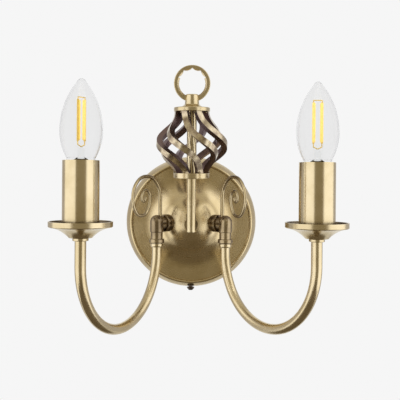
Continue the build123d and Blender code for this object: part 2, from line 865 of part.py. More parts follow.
def glass_outline(inset):
    """Envelope curve from the neck to the tip, moved in by the glass."""
    radius = glass_diameter / 2 - inset
    neck = glass_neck / 2 - inset
    low = glass_widest - glass_neck_top
    lower = (low**2 + (radius - neck) ** 2) / (2 * (radius - neck))
    tip = glass_tip_radius - inset
    tip_centre = glass_top - glass_tip_radius
    high = tip_centre - glass_widest
    upper = (high**2 + radius**2 - tip**2) / (2 * (radius - tip))
    lean = math.degrees(math.asin(high / (upper - tip)))
    lower_turn = math.degrees(math.asin(low / lower)) / 2
    join = arc_point(radius - upper, glass_widest, upper, lean)
    upper_mid = arc_point(radius - upper, glass_widest, upper, lean / 2)
    lower_mid = arc_point(radius - lower, glass_widest, lower, -lower_turn)
    tip_mid = arc_point(0, tip_centre, tip, (lean + square) / 2)
    bottom = glass_neck_bottom + inset
    return [
        Line((0, bottom), (neck, bottom)),
        Line((neck, bottom), (neck, glass_neck_top)),
        ThreePointArc((neck, glass_neck_top), lower_mid, (radius, glass_widest)),
        ThreePointArc((radius, glass_widest), upper_mid, join),
        ThreePointArc(join, tip_mid, (0, tip_centre + tip)),
        Line((0, tip_centre + tip), (0, bottom)),
    ]


def make_bulb_glass(side):
    envelope = turned(*glass_outline(0)) - turned(*glass_outline(glass_wall))
    return bulb_frame(side) * envelope


def make_bulb_cap(side):
    radius = cap_diameter / 2
    skirt = cap_skirt / 2
    rise = cap_top - (skirt - radius)
    body = turned_points(
        (0, cap_bottom), (radius - cap_toe_width, cap_bottom),
        (radius, cap_bottom + cap_toe_height), (radius, rise), (skirt, cap_top),
        (skirt, glass_neck_bottom), (0, glass_neck_bottom),
    )
    button = rod_solid(contact_button / 2, cap_bottom - contact_button_height, cap_bottom)
    return bulb_frame(side) * (body + button)


def make_bulb_stem(side):
    low = glass_neck_bottom + glass_wall
    foot = glass_neck / 2 - glass_wall - hole_gap
    radius = stem_diameter / 2
    body = turned_points(
        (0, low), (foot, low), (radius, low + foot / 2), (radius, stem_top - radius),
        (radius / 2, stem_top), (0, stem_top),
    )
    return bulb_frame(side) * body


def make_bulb_filament(side):
    """Two filament strips on their lead wires, joined by a wire at the top."""
    reach = filament_spacing / 2
    half_lead = lead_diameter / 2
    low = stem_top + half_lead
    crown = filament_top + filament_width
    middle = (filament_bottom + filament_top) / 2
    height = filament_top - filament_bottom
    frame = None
    for edge in (left, right):
        strip = Pos(edge * reach, 0, middle) * Box(filament_width, filament_width / 2, height)
        bend = (edge * reach, 0, low + reach / 2)
        path = Polyline((0, 0, low), bend, (edge * reach, 0, filament_bottom + lead_lap))
        lead = swept(path, half_lead, corners=Transition.RIGHT)
        piece = strip + lead
        frame = piece if frame is None else frame + piece
    lap = filament_top - lead_lap
    path = Polyline((-reach, 0, lap), (-reach, 0, crown), (reach, 0, crown), (reach, 0, lap))
    return bulb_frame(side) * (frame + swept(path, half_lead, corners=Transition.RIGHT))


# ---------------------------------------------------------------- mast
def make_rod_boss():
    radius = boss_diameter / 2
    boss = Plane.XZ * rod_solid(radius, bulge_radius - radius, rod_depth)
    boss -= Sphere(bulge_radius + seat_gap)
    boss -= mast_frame() * rod_solid(rod_radius + seat_gap, -2 * radius, 2 * radius)
    boss -= Plane.XZ * rod_solid(boss_screw_diameter / 2 + hole_gap, 0, rod_depth)
    front = Pos(0, -rod_depth - radius, 0) * Box(4 * radius, 2 * radius, 4 * radius)
    return boss - front


def boss_washer_span():
    reach = math.sqrt((bulge_radius - canopy_wall) ** 2 - (boss_washer_diameter / 2) ** 2)
    outer = reach - seat_gap
    return outer - boss_washer_height, outer


def make_boss_washer():
    low, high = boss_washer_span()
    bore = boss_screw_diameter / 2 + hole_gap
    return Plane.XZ * tube_solid(boss_washer_diameter / 2, bore, low, high)


def make_boss_screw():
    seat = boss_washer_span()[0]
    shank = rod_solid(boss_screw_diameter / 2, seat, rod_depth)
    head = Rot(straight, 0, 0) * slotted_head(boss_screw_head / 2, -seat, -seat + boss_screw_head_height)
    return Plane.XZ * (shank + head)


def make_centre_rod():
    rod = rod_solid(rod_radius, rod_bottom, cap_disc_bottom)
    rod = chamfer(rod.edges().group_by(Axis.Z)[0], disc_edge)
    rod += rod_solid(spigot_diameter / 2, cap_disc_bottom - cut_past, cap_cone_top + spigot_reach)
    rod = mast_frame() * rod
    return rod - Plane.XZ * rod_solid(
        boss_screw_diameter / 2 + thread_gap, 0, rod_depth + thread_gap
    )


def make_cage_base():
    disc = tube_solid(
        base_disc_diameter / 2, rod_radius + thread_gap, base_disc_bottom, base_disc_top
    )
    outer = disc.edges().filter_by(GeomType.CIRCLE).group_by(SortBy.RADIUS)[-1]
    return mast_frame() * fillet(outer, disc_edge)


def make_cage_cap():
    """Disc that closes the cage, with a hollow cone up to the finial's neck."""
    bore = spigot_diameter / 2 + thread_gap
    radius = cap_disc_diameter / 2
    disc = tube_solid(radius, bore, cap_disc_bottom, cap_disc_top)
    disc = fillet(disc.edges().group_by(Axis.Z)[-1].sort_by(SortBy.RADIUS)[-1], cap_disc_round)
    disc = fillet(disc.edges().group_by(Axis.Z)[0].sort_by(SortBy.RADIUS)[-1], disc_edge)
    foot = radius - cap_cone_margin
    neck = finial_neck_diameter / 2
    middle = ((foot + neck) / 2 - cap_cone_hollow, (cap_disc_top + cap_cone_top) / 2 - cap_cone_hollow)
    cone = turned(
        Line((bore, cap_disc_top), (foot, cap_disc_top)),
        ThreePointArc((foot, cap_disc_top), middle, (neck, cap_cone_top)),
        Line((neck, cap_cone_top), (bore, cap_cone_top)),
        Line((bore, cap_cone_top), (bore, cap_disc_top)),
    )
    return mast_frame() * (disc + cone)


def bar_station(share):
    """Height, outer radius and turn of the bars at a share of the way down."""
    height = cap_disc_bottom + (base_disc_top - cap_disc_bottom) * share
    along = share**cage_sag
    outer = cage_end_radius + cage_swell * math.sin(math.pi * along) ** cage_fullness
    eased = along - cage_ease * math.sin(2 * math.pi * along) / (2 * math.pi)
    return height, outer, cage_twist * eased


def bar_point(share, phase):
    """Centre of a bar's section, which keeps one face square to the radius."""
    height, outer, turn = bar_station(share)
    angle = math.radians(phase + turn)
    reach = outer - bar_width / 2
    return Vector(reach * math.sin(angle), -reach * math.cos(angle), height)


def make_cage_bar(phase):
    """One square bar, lofted through sections square to its run."""
    sections = []
    step = 1 / (cage_stations * cage_stations)
    for station in range(cage_stations):
        share = station / (cage_stations - 1)
        centre = bar_point(share, phase)
        radial = Vector(centre.X, centre.Y, 0)
        if station in (0, cage_stations - 1):
            run = Vector(0, 0, -1)
        else:
            run = bar_point(share + step, phase) - bar_point(share - step, phase)
        plane = Plane(origin=centre, x_dir=radial - run * (radial.dot(run) / run.dot(run)), z_dir=run)
        sections.append(plane * Rectangle(bar_width, bar_width))
    return mast_frame() * loft(sections)


def make_cage_bars():
    spacing = full_turn / bar_count
    return [make_cage_bar(cage_phase + number * spacing) for number in range(bar_count)]


# ---------------------------------------------------------------- ring finial
def eye_outline():
    """The ring's eye: plain below, convex scallops round the top."""
    half_span = scallop_pitch * scallop_count / 2
    first = square - half_span
    last = square + half_span
    edges = []
    for number in range(scallop_count):
        start = first + number * scallop_pitch
        edges.append(
            ThreePointArc(
                polar(scallop_root, start), polar(scallop_tip, start + scallop_pitch / 2),
                polar(scallop_root, start + scallop_pitch),
            )
        )
    edges.append(Line(polar(scallop_root, last), polar(ring_eye, last)))
    edges.append(ThreePointArc(polar(ring_eye, last), polar(ring_eye, -square), polar(ring_eye, first)))
    edges.append(Line(polar(ring_eye, first), polar(scallop_root, first)))
    return edges


def make_finial_neck():
    """Tapered neck with a rounded shoulder, which carries the ring."""
    foot = finial_neck_diameter / 2
    top = finial_neck_top / 2
    low = cap_cone_top
    high = low + finial_neck_height
    under = high - finial_shoulder
    left_over = finial_shoulder * finial_round
    return turned(
        Line((0, low), (foot, low)),
        Line((foot, low), (top, under)),
        ThreePointArc((top, under), (top - left_over, high - left_over), (top - finial_shoulder, high)),
        Line((top - finial_shoulder, high), (0, high)),
        Line((0, high), (0, low)),
    )


def make_ring_finial():
    half = ring_thickness / 2
    blank = rod_solid(ring_radius, -half, half)
    blank = fillet(blank.edges().filter_by(GeomType.CIRCLE), ring_bevel / 2)
    cutter = extrude(make_face(eye_outline()), 2 * ring_thickness, both=True)
    bevel = turned_points(
        (0, half - ring_bevel), (ring_eye, half - ring_bevel),
        (ring_eye + 2 * ring_bevel, half + ring_bevel), (0, half + ring_bevel),
    )
    for face in (0, straight):
        cutter += Rot(face, 0, 0) * bevel
    ring = Pos(0, 0, ring_centre) * (Plane.XZ * (blank - cutter))
    body = ring + make_finial_neck()
    socket_top = cap_cone_top + spigot_reach + thread_gap
    socket = rod_solid(spigot_diameter / 2 + thread_gap, cap_cone_top - cut_past, socket_top)
    return mast_frame() * (body - socket)


# ---------------------------------------------------------------- the fitting
def side_pieces(name, side):
    """Every piece that exists once on the left and once on the right."""
    return {
        f"{name}_elbow": make_elbow(side),
        f"{name}_scroll": make_scroll(side),
        f"{name}_canopy_wire": make_canopy_wire(side),
        f"{name}_arm_tube": make_arm_tube(side),
        f"{name}_arm_ferrule": make_ferrule(side),
        f"{name}_swivel_nipple": make_swivel_nipple(side),
        f"{name}_swivel_ring": make_swivel_ring(side),
        f"{name}_arm_wire": make_arm_wire(side),
        f"{name}_drip_pan": make_pan(side),
        f"{name}_pan_nut": make_pan_nut(side),
        f"{name}_pan_locknut": make_pan_locknut(side),
        f"{name}_candle_sleeve": make_candle_sleeve(side),
        f"{name}_lampholder": make_lampholder(side),
        f"{name}_holder_shell": make_holder_shell(side),
        f"{name}_holder_contact": make_holder_contact(side),
        f"{name}_bulb_glass": make_bulb_glass(side),
        f"{name}_bulb_cap": make_bulb_cap(side),
        f"{name}_bulb_stem": make_bulb_stem(side),
        f"{name}_bulb_filament": make_bulb_filament(side),
    }


def make_parts():
    parts = {
        "wall_strap": make_wall_strap(),
        "strap_lugs": make_strap_lugs(),
        "cable_grommet": make_cable_grommet(),
        "terminal_block": make_terminal_block(),
        "terminal_screws": make_terminal_screws(),
        "block_screw": make_block_screw(),
        "earth_screw": make_earth_screw(),
        "canopy": make_canopy(),
        "lock_screw_top": make_lock_screw(right),
        "lock_screw_bottom": make_lock_screw(left),
        "elbow_nipples": make_elbow_nipples(),
        "elbow_washers": make_elbow_washers(),
        "elbow_nuts": make_elbow_nuts(),
        "rod_boss": make_rod_boss(),
        "boss_washer": make_boss_washer(),
        "boss_screw": make_boss_screw(),
        "centre_rod": make_centre_rod(),
        "cage_base": make_cage_base(),
        "cage_bars": make_cage_bars(),
        "cage_cap": make_cage_cap(),
        "ring_finial": make_ring_finial(),
    }
    parts.update(side_pieces("left", left))
    parts.update(side_pieces("right", right))
    return parts


os.makedirs("parts", exist_ok=True)
for node, shape in make_parts().items():
    if isinstance(shape, list):
        shape = Compound(children=shape)
    export_step(shape, f"parts/{node}.step")
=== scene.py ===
"""Looks of the double arm wall sconce: antique brass, clear candle bulbs, pale studio."""
import json
import math
import bmesh
import bpy
from mathutils import Matrix, Vector, noise


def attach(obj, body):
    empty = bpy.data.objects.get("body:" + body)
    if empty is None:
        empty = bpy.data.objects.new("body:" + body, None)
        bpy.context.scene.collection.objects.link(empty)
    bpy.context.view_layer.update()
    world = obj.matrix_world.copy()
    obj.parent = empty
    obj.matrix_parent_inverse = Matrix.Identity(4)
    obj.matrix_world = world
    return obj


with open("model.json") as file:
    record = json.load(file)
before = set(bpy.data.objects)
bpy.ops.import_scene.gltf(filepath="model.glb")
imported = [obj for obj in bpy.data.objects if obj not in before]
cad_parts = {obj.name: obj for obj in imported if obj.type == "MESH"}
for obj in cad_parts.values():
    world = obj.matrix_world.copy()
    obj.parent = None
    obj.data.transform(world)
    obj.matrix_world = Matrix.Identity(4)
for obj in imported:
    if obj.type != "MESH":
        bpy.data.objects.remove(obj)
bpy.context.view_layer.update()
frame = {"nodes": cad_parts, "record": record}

# ------------------------------------------------------------------ camera and floor
MM = 0.001
CAMERA_DISTANCE = 0.663      # from the wall plane
CAMERA_HEIGHT = 0.0390
CAMERA_ROLL = 0.45           # degrees
CAMERA_CLIP = 0.01
FRAME_SHIFT = (0.0215, -0.04)    # of the picture's width: the photograph is cropped off centre
FOCAL_PIXELS = 637.0
PHOTO_PIXELS = 400.0
SENSOR = 36.0
BACKGROUND = 0.921           # the photograph's pale grey, linear
PALE = (BACKGROUND, BACKGROUND, BACKGROUND)
FLOOR_HEIGHT = -1.3
FLOOR_RADIUS = 2.4
FLOOR_FADE = 0.5             # share of the radius where the floor starts to fade
FLOOR_TONE = (0.80, 0.84)    # darkest and lightest grey of its speckle
FLOOR_SPECKLE = 30.0         # scale of the speckle
FLOOR_LIFT = 0.6             # how far the seen floor is lifted to the background's grey

# ------------------------------------------------------------------ small pieces
# The leaning mast and its cage, as in the CAD model.
MAST_FOOT = Vector((0, -51 * MM, 0))
MAST_LEAN = math.radians(3.2)
MAST_AXIS = Vector((0, -math.sin(MAST_LEAN), math.cos(MAST_LEAN)))
BAR_COUNT = 7
BAR_PHASE = 24.0             # first bar under the cap, degrees right of front
BAR_TWIST = 112.0
CAP_UNDERSIDE = 108.1 * MM
BASE_TOP = 49.9 * MM

# The drops of braze beside the bars' ends.
BEAD_RADIUS = 1.5 * MM
BEAD_LUMP = 0.18             # unevenness, of the radius
BEAD_FLATTENING = 0.8
HEAD_RING = 14.6 * MM        # distance of the upper beads from the mast's axis
HEAD_TURN = -14.0            # degrees from the bar's end
HEAD_DROP = 0.7 * BEAD_RADIUS
HEAD_SEED = 3.1
FOOT_RING = HEAD_RING + 1.6 * MM
FOOT_TURN = -7.0
FOOT_RISE = 0.6 * BEAD_RADIUS
FOOT_SEED = 7.7

# The coat round each filament strip. Foot, head and inset are measured from the filament node's box.
COAT_RADIUS = 1.35 * MM
COAT_FOOT = 5.5 * MM
COAT_HEAD = 2.2 * MM
COAT_INSET = 1.1 * MM
COAT_SEGMENTS = (20, 16)
MIDDLE_RING = 1e-7           # vertices nearer to the coat's middle height than this stay there

# ------------------------------------------------------------------ studio
# What lies behind the fitting. Azimuth 0 is the camera's side and + is to the right, all angles are
# in degrees: middle, half width, softness, lowest and highest elevation, colour.
BACK_WALL = (180.0, 78.0, 12.0, -64.0, 60.0, (0.56, 0.545, 0.56))
BACKDROP = (180.0, 26.0, 6.0, -64.0, 60.0, PALE)
ELEVATION_SOFTNESS = 8.0
# The rest of the room, from straight down to straight up: sine of elevation and colour.
ROOM = (
    (-1.0, (0.14, 0.115, 0.075)), (-0.8, (0.16, 0.13, 0.085)), (-0.6, (0.26, 0.215, 0.14)),
    (0.0, (0.32, 0.275, 0.185)), (0.35, (0.42, 0.365, 0.26)), (0.6, (0.60, 0.54, 0.42)),
    (1.0, (0.66, 0.61, 0.50)),
)
# Two tall soft boxes: inner and outer edge on the floor plan, lower and upper edge, radiance.
LEFT_BOX = ((-0.60, -1.60), (-1.22, 0.25), -1.12, 1.02, 1.42)
RIGHT_BOX = ((0.36, -0.745), (0.97, 0.14), -0.74, 1.08, 1.50)
BOX_EDGE = 0.14              # share of a box's width and height over which its light fades
BOX_COLOUR = (1.0, 0.99, 0.985)
# The dark card, below and in front of the fitting.
CARD_PLACE = (0.0, -0.46, -0.45)
CARD_RADIUS = 0.62
CARD_DARK = (0.13, 0.105, 0.07)
CARD_LIGHT = (0.16, 0.13, 0.09)
CARD_WEAVE = 400.0
# The lamp overhead.
LAMP_SIZE = (1.2, 0.8)
LAMP_PLACE = (0, -0.6, 1.3)
LAMP_TARGET = (0, -0.05, 0)
LAMP_POWER = 9.0

# ------------------------------------------------------------------ surface
SPUN_GROOVE = 0.004          # metres of groove texture for each radian round the canopy
TURNED_GROOVE = 0.002        # the same round a turned piece
DOME_EDGE = (33 * MM, 36 * MM)   # from here outwards the canopy is brushed round
DOME_ANISOTROPY = 0.35
RING_ANISOTROPY = 0.8
TANGENT_DEPTH = 0.5          # how far the canopy's tangent leans out of the wall plane
BUMP_DEPTH = 0.0002
WAVE_DEPTH = 0.0005


# ------------------------------------------------------------------ node helpers
class Graph:
    """A small wrapper that adds and links the nodes of one material or world."""

    def __init__(self, tree):
        self.tree = tree
        tree.nodes.clear()

    def add(self, kind, inputs=None, **settings):
        node = self.tree.nodes.new(kind)
        for name, value in settings.items():
            setattr(node, name, value)
        for name, value in (inputs or {}).items():
            self.feed(node.inputs[name], value)
        return node

    def feed(self, socket, value):
        if isinstance(value, bpy.types.NodeSocket):
            self.tree.links.new(value, socket)
        else:
            socket.default_value = value

    def math(self, operation, first, second=0.0):
        return self.add("ShaderNodeMath", {0: first, 1: second}, operation=operation).outputs[0]

    def vector(self, operation, first, second=(0, 0, 0)):
        node = self.add("ShaderNodeVectorMath", {0: first, 1: second}, operation=operation)
        return node.outputs["Value" if operation in ("DOT_PRODUCT", "LENGTH") else "Vector"]

    def stretch(self, vector, factor):
        """The vector times a number."""
        inputs = {0: vector, "Scale": factor}
        return self.add("ShaderNodeVectorMath", inputs, operation="SCALE").outputs["Vector"]

    def spread(self, value, low, high, to_low=0.0, to_high=1.0):
        """A smooth step from one value to another."""
        node = self.add(
            "ShaderNodeMapRange",
            {"Value": value, "From Min": low, "From Max": high, "To Min": to_low, "To Max": to_high},
            clamp=True, interpolation_type="SMOOTHSTEP",
        )
        return node.outputs["Result"]

    def blend(self, share, first, second):
        """Two colours mixed. The colour sockets of a mix node are 6 and 7 in and 2 out."""
        return self.add("ShaderNodeMix", {0: share, 6: first, 7: second}, data_type="RGBA").outputs[2]

    def noise(self, where, scale, detail=2.0, roughness=0.5):
        node = self.add(
            "ShaderNodeTexNoise",
            {"Vector": where, "Scale": scale, "Detail": detail, "Roughness": roughness},
        )
        return node.outputs["Fac"]

    def bump(self, height, strength, distance):
        inputs = {"Height": height, "Strength": strength, "Distance": distance}
        return self.add("ShaderNodeBump", inputs).outputs[0]

    def object_point(self):
        return self.add("ShaderNodeTexCoord").outputs["Object"]

    def place(self, scale=(1, 1, 1)):
        return self.add("ShaderNodeMapping", {"Vector": self.object_point(), "Scale": scale}).outputs[0]

    def split(self, vector):
        return self.add("ShaderNodeSeparateXYZ", {0: vector}).outputs

    def join(self, x, y, z):
        return self.add("ShaderNodeCombineXYZ", {0: x, 1: y, 2: z}).outputs[0]


def new_material(name):
    material = bpy.data.materials.new(name)
    material.use_nodes = True
    return material, Graph(material.node_tree)


def finish_material(graph, shader):
    graph.add("ShaderNodeOutputMaterial", {"Surface": shader.outputs[0]})


def opaque(colour):
    return (*colour, 1)


# ------------------------------------------------------------------ brass
def spun_radius(g):
    """Distance from the canopy's axis."""
    return g.vector("LENGTH", g.vector("MULTIPLY", g.object_point(), (1, 0, 1)))


def spun_point(g):
    """Grooves of a piece spun about the canopy's axis: fine across, long round it."""
    axes = g.split(g.object_point())
    angle = g.math("ARCTAN2", axes[2], axes[0])
    return g.join(spun_radius(g), g.math("MULTIPLY", angle, SPUN_GROOVE), axes[1])


def turned_point(g):
    """Grooves of a piece turned about its own upright axis: fine in height, long round it."""
    middle = g.vector("SUBTRACT", g.add("ShaderNodeTexCoord").outputs["Generated"], (0.5, 0.5, 0.0))
    axes = g.split(middle)
    angle = g.math("ARCTAN2", axes[1], axes[0])
    height = g.split(g.object_point())[2]
    return g.join(0.0, g.math("MULTIPLY", angle, TURNED_GROOVE), height)


def drawn_point(g):
    """The fine even grain of drawn tube and wire."""
    return g.place()


def radial_tangent(g):
    """Across the grooves of the spun canopy, in its flat ring as on its dome and side wall."""
    axes = g.split(g.object_point())
    radial = g.vector("NORMALIZE", g.join(axes[0], 0.0, axes[2]))
    return g.vector("ADD", radial, (0.0, TANGENT_DEPTH, 0.0))


def upright_tangent(g):
    return g.join(0.0, 0.0, 1.0)


def even_anisotropy(share):
    """The same anisotropy all over a piece."""
    return lambda g: share


def canopy_anisotropy(g):
    """The flat ring and the side wall are brushed round, the dome is polished more evenly."""
    return g.spread(spun_radius(g), *DOME_EDGE, DOME_ANISOTROPY, RING_ANISOTROPY)


def front_share(g):
    """1 on the front of a piece, 0 on its sides, which are darkened with painted shade."""
    normal = g.add("ShaderNodeTexCoord").outputs["Normal"]
    return g.spread(g.vector("DOT_PRODUCT", normal, (0, -1, 0)), 0.5, 0.93)


def outward_share(g):
    """1 on faces that look away from the mast's axis, 0 on the sides and backs of the bars, which get
    painted shade.
    """
    offset = g.vector("SUBTRACT", g.object_point(), tuple(MAST_FOOT))
    axial = g.stretch(tuple(MAST_AXIS), g.vector("DOT_PRODUCT", offset, tuple(MAST_AXIS)))
    radial = g.vector("NORMALIZE", g.vector("SUBTRACT", offset, axial))
    normal = g.add("ShaderNodeNewGeometry").outputs["Normal"]
    return g.spread(g.vector("DOT_PRODUCT", normal, radial), 0.45, 0.85)


def brass(
    name, bright, dull, dark, crevice, roughness, grooves=drawn_point, groove_scale=900.0, grain=0.004,
    tangent=None, anisotropy=even_anisotropy(0.0), mask=None, painted_shade_strength=1.0, recess_low=0.15,
    recess_high=0.6, mottle=38.0,
):
    """Antique brass: satin, mottled, darker in its recesses, as patina in small hollows and as painted
    shade where parts meet, with more painted shade where the mask leaves it.
    """
    material, g = new_material(name)
    cloud = g.noise(g.place(), mottle, 3.0, 0.6)
    fine = g.noise(grooves(g), groove_scale, 2.0, 0.7)
    # Ambient occlusion darkens the colour towards dark: patina in small hollows, and painted shade
    # where a longer reach spans the gap between parts.
    shade = g.add("ShaderNodeAmbientOcclusion", {"Distance": crevice}, samples=16).outputs["AO"]
    recess = g.spread(shade, recess_low, recess_high, 1.0, 0.0)
    if mask is not None:
        # Painted shade: where the mask is 0, the colour goes towards dark, as far as the given
        # strength.
        painted_side_shade = g.math("MULTIPLY", g.math("SUBTRACT", 1.0, mask(g)), painted_shade_strength)
        recess = g.math("MAXIMUM", recess, painted_side_shade)
    tone = g.blend(g.spread(cloud, 0.35, 0.65), opaque(bright), opaque(dull))
    tone = g.blend(g.spread(fine, 0.3, 0.8, 0.0, 0.08), tone, opaque(dull))
    tone = g.blend(recess, tone, opaque(dark))
    worn = g.spread(fine, 0.25, 0.75, roughness - 0.015, roughness + 0.02)
    inputs = {
        "Base Color": tone, "Metallic": 1.0,
        "Roughness": g.math("ADD", worn, g.math("MULTIPLY", recess, 0.12)),
        "Normal": g.bump(fine, grain, BUMP_DEPTH), "Anisotropic": anisotropy(g),
    }
    if tangent is not None:
        inputs["Tangent"] = tangent(g)
    finish_material(g, g.add("ShaderNodeBsdfPrincipled", inputs))
    return material


# ------------------------------------------------------------------ other surfaces
def metal(name, colour, second, roughness):
    """Plain plated metal with faint handling marks."""
    material, g = new_material(name)
    marks = g.noise(g.place(), 260.0, 4.0, 0.65)
    inputs = {
        "Base Color": g.blend(g.spread(marks, 0.35, 0.7), opaque(colour), opaque(second)),
        "Metallic": 1.0, "Roughness": g.spread(marks, 0.3, 0.7, roughness, roughness + 0.15),
        "Normal": g.bump(marks, 0.08, BUMP_DEPTH),
    }
    finish_material(g, g.add("ShaderNodeBsdfPrincipled", inputs))
    return material


def plastic(name, colour, second, roughness, texture=400.0, strength=0.15):
    """Moulded plastic or rubber with a fine surface texture."""
    material, g = new_material(name)
    pores = g.noise(g.place(), texture, 3.0, 0.6)
    inputs = {
        "Base Color": g.blend(g.spread(pores, 0.3, 0.75), opaque(colour), opaque(second)),
        "Roughness": g.spread(pores, 0.3, 0.7, roughness, roughness + 0.12),
        "Normal": g.bump(pores, strength, BUMP_DEPTH),
    }
    finish_material(g, g.add("ShaderNodeBsdfPrincipled", inputs))
    return material


def glass(name, colour, edge, ior, roughness=0.0):
    """Clear lamp glass with very slight waviness, with painted shade that makes it greyer where it is
    seen edge on.
    """
    material, g = new_material(name)
    wave = g.noise(g.place((1, 1, 0.4)), 60.0, 1.0, 0.4)
    facing = g.add("ShaderNodeLayerWeight", {"Blend": 0.5}).outputs["Facing"]
    # Painted shade: the colour goes towards the edge grey where the glass is seen edge on.
    tone = g.blend(g.spread(facing, 0.55, 1.0), opaque(colour), opaque(edge))
    tone = g.blend(g.spread(wave, 0.3, 0.7, 0.0, 0.15), tone, (1, 1, 1, 1))
    inputs = {
        "Base Color": tone, "Roughness": roughness, "IOR": ior, "Transmission Weight": 1.0,
        "Normal": g.bump(wave, 0.02, WAVE_DEPTH),
    }
    finish_material(g, g.add("ShaderNodeBsdfPrincipled", inputs))
    return material


def phosphor(name, colour, second, painted_glow):
    """Matt, slightly grainy phosphor that gives some light of its own as a painted glow, so that it
    stays bright.
    """
    material, g = new_material(name)
    grain = g.noise(g.place(), 1500.0, 2.0, 0.6)
    tone = g.blend(g.spread(grain, 0.3, 0.7), opaque(colour), opaque(second))
    # Painted glow: the phosphor shines with its own colour.
    inputs = {"Base Color": tone, "Roughness": 0.6, "Emission Color": tone, "Emission Strength": painted_glow}
    finish_material(g, g.add("ShaderNodeBsdfPrincipled", inputs))
    return material


# ------------------------------------------------------------------ finishes
BRIGHT = (0.68, 0.575, 0.375)
DULL = (0.60, 0.495, 0.30)
# Colour of the recesses: patina in small hollows, and painted shade between parts and on the scrolls'
# sides.
DARK = (0.16, 0.11, 0.065)
SPUN_BRIGHT = (0.68, 0.56, 0.345)
SPUN_DULL = (0.60, 0.48, 0.27)
BAR_BRIGHT = (0.64, 0.55, 0.38)
BAR_DULL = (0.33, 0.26, 0.19)
# The bars' dark colour: painted shade on their sides and backs, and patina in the hollows.
BAR_PATINA_AND_SHADE = (0.21, 0.15, 0.145)
ELBOW_BRIGHT = (0.44, 0.35, 0.21)
ELBOW_DULL = (0.25, 0.19, 0.12)
# The elbows' recess colour: patina in hollows, and painted shade on their sides and between parts.
ELBOW_PATINA_AND_SHADE = (0.09, 0.055, 0.04)
# Painted shade inside the drip pans, near black.
PAN_PAINTED_SHADE = (0.035, 0.022, 0.018)

materials = {
    "antique_brass": brass("antique_brass", BRIGHT, DULL, DARK, 3 * MM, 0.24),
    "canopy_brass": brass(
        "canopy_brass", SPUN_BRIGHT, SPUN_DULL, DARK, 4 * MM, 0.26, spun_point, 500.0, 0.003,
        radial_tangent, canopy_anisotropy,
    ),
    "turned_brass": brass(
        "turned_brass", BRIGHT, DULL, DARK, 6 * MM, 0.22, turned_point, 1600.0, 0.008,
        upright_tangent, even_anisotropy(0.5),
    ),
    # The drip pans: the 16 mm reach paints shade almost black inside them, next to the sleeve.
    "pan_brass": brass(
        "pan_brass", BRIGHT, DULL, PAN_PAINTED_SHADE, 16 * MM, 0.22, turned_point, 1600.0, 0.008,
        recess_low=0.4, recess_high=0.7,
    ),
    # The scrolls' sides get painted shade, which draws a dark outline round each wire.
    "scroll_brass": brass(
        "scroll_brass", BRIGHT, DULL, DARK, 3 * MM, 0.24, mask=front_share, painted_shade_strength=0.8,
    ),
    # The elbows' and beads' sides get painted shade, and the long reach paints shade where they stand
    # next to other parts.
    "dark_brass": brass(
        "dark_brass", ELBOW_BRIGHT, ELBOW_DULL, ELBOW_PATINA_AND_SHADE, 9 * MM, 0.24, mask=front_share,
        painted_shade_strength=0.35,
    ),
    # The bars' sides and backs, turned to the mast, get painted shade.
    "cage_brass": brass(
        "cage_brass", BAR_BRIGHT, BAR_DULL, BAR_PATINA_AND_SHADE, 5 * MM, 0.2, mask=outward_share,
        recess_low=0.2, recess_high=0.6, mottle=150.0,
    ),
    "zinc_steel": metal("zinc_steel", (0.62, 0.63, 0.65), (0.5, 0.52, 0.54), 0.3),
    "dark_steel": metal("dark_steel", (0.07, 0.055, 0.045), (0.13, 0.1, 0.08), 0.35),
    "terminal_brass": metal("terminal_brass", (0.72, 0.55, 0.27), (0.62, 0.45, 0.2), 0.25),
    "nickel": metal("nickel", (0.66, 0.64, 0.6), (0.56, 0.54, 0.5), 0.22),
    "grommet_rubber": plastic("grommet_rubber", (0.02, 0.02, 0.02), (0.035, 0.035, 0.035), 0.6),
    "block_plastic": plastic("block_plastic", (0.75, 0.73, 0.68), (0.68, 0.66, 0.6), 0.45),
    "holder_plastic": plastic("holder_plastic", (0.72, 0.68, 0.58), (0.66, 0.62, 0.52), 0.3),
    "wire_sheath": plastic("wire_sheath", (0.35, 0.22, 0.08), (0.42, 0.28, 0.12), 0.4),
    # The second grey of each glass is its painted edge shade.
    "bulb_glass": glass("bulb_glass", (0.93, 0.93, 0.93), (0.72, 0.72, 0.73), 1.2),
    "stem_glass": glass("stem_glass", (0.95, 0.96, 0.96), (0.85, 0.86, 0.86), 1.04, 0.05),
    # The last number is the strength of the phosphor's painted glow.
    "phosphor": phosphor("phosphor", (1.0, 0.66, 0.13), (1.0, 0.73, 0.22), 0.45),
    "filament_yellow": plastic(
        "filament_yellow", (0.95, 0.62, 0.08), (1.0, 0.72, 0.16), 0.5, 900.0, 0.3,
    ),
}
TURNED = ("candle_sleeve", "pan_nut", "arm_ferrule")
NODE_FINISH = {"canopy": "canopy_brass", "cage_bars": "cage_brass"}
for side in ("left", "right"):
    for kind in TURNED:
        NODE_FINISH[f"{side}_{kind}"] = "turned_brass"
    NODE_FINISH[f"{side}_drip_pan"] = "pan_brass"
    NODE_FINISH[f"{side}_scroll"] = "scroll_brass"


def smooth(data):
    for polygon in data.polygons:
        polygon.use_smooth = True


def dress(obj, finish):
    obj.data.materials.clear()
    obj.data.materials.append(materials[finish])
    smooth(obj.data)


for part in frame["record"]["subparts"]:
    node = part["node"]
    dress(frame["nodes"][node], NODE_FINISH.get(node, part["material_slot"]))


# ------------------------------------------------------------------ braze beads
def link_object(name, data):
    """A new object in the scene's collection."""
    obj = bpy.data.objects.new(name, data)
    bpy.context.scene.collection.objects.link(obj)
    return obj


def link_piece(name, mesh, finish):
    """A piece of the scene made from a bmesh, smooth and in its finish."""
    data = bpy.data.meshes.new(name)
    mesh.to_mesh(data)
    mesh.free()
    piece = link_object(name, data)
    dress(piece, finish)
    return piece


